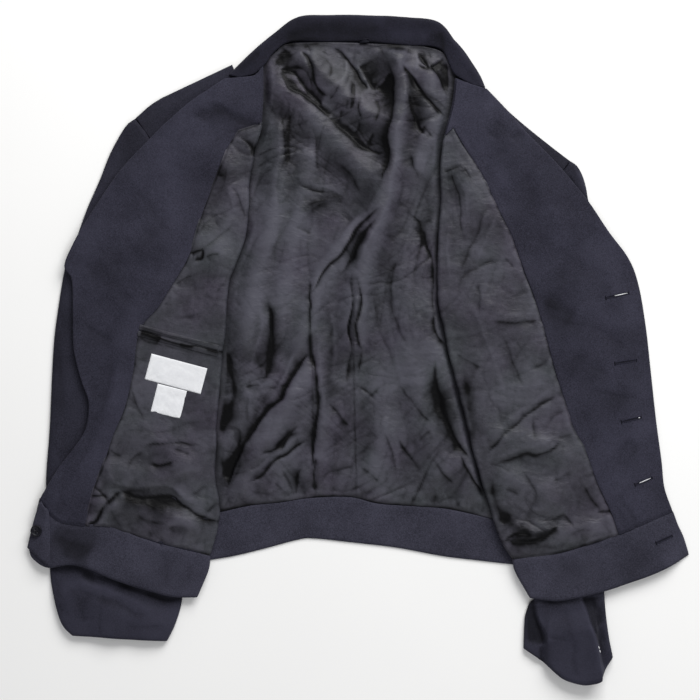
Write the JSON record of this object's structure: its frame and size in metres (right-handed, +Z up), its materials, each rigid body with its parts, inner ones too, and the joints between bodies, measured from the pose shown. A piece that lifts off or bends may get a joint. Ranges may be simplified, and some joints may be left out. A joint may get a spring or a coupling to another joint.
{
  "type": "ike jacket",
  "caption": "Waist-length uniform jacket lying open on its back, fronts turned out, lining, blank labels, inside pocket and buttoned waistband showing.",
  "frame": {"origin": "on the floor, at the middle of the jacket's box seen from above", "axes": "+Z up out of the floor, +Y from the waistband towards the collar, +X to the right seen from above, which is the wearer's left front"},
  "size_m": [0.7132, 0.725, 0.019],
  "materials": {
    "navy_twill": "matte dark navy twill",
    "black_lining": "shiny charcoal lining satin",
    "white_label": "woven white label cloth, blank",
    "dark_button": "glossy near-black moulded button"
  },
  "bodies": {
    "root": {"back_shell": "navy_twill", "back_lining": "black_lining", "back_waistband": "navy_twill", "collar": "navy_twill", "right_front_shell": "navy_twill", "right_front_facing": "navy_twill", "right_front_lining": "black_lining", "right_front_waistband": "navy_twill", "left_front_shell": "navy_twill", "left_front_facing": "navy_twill", "left_front_lining": "black_lining", "left_front_waistband": "navy_twill", "right_shoulder": "navy_twill", "left_shoulder": "navy_twill", "right_sleeve": "navy_twill", "left_sleeve": "navy_twill", "pocket_welt_upper": "black_lining", "pocket_welt_lower": "black_lining", "brand_label": "white_label", "care_label": "white_label", "waistband_button": "dark_button", "front_button_1": "dark_button", "front_button_2": "dark_button", "front_button_3": "dark_button", "front_button_4": "dark_button"}
  },
  "joints": []
}
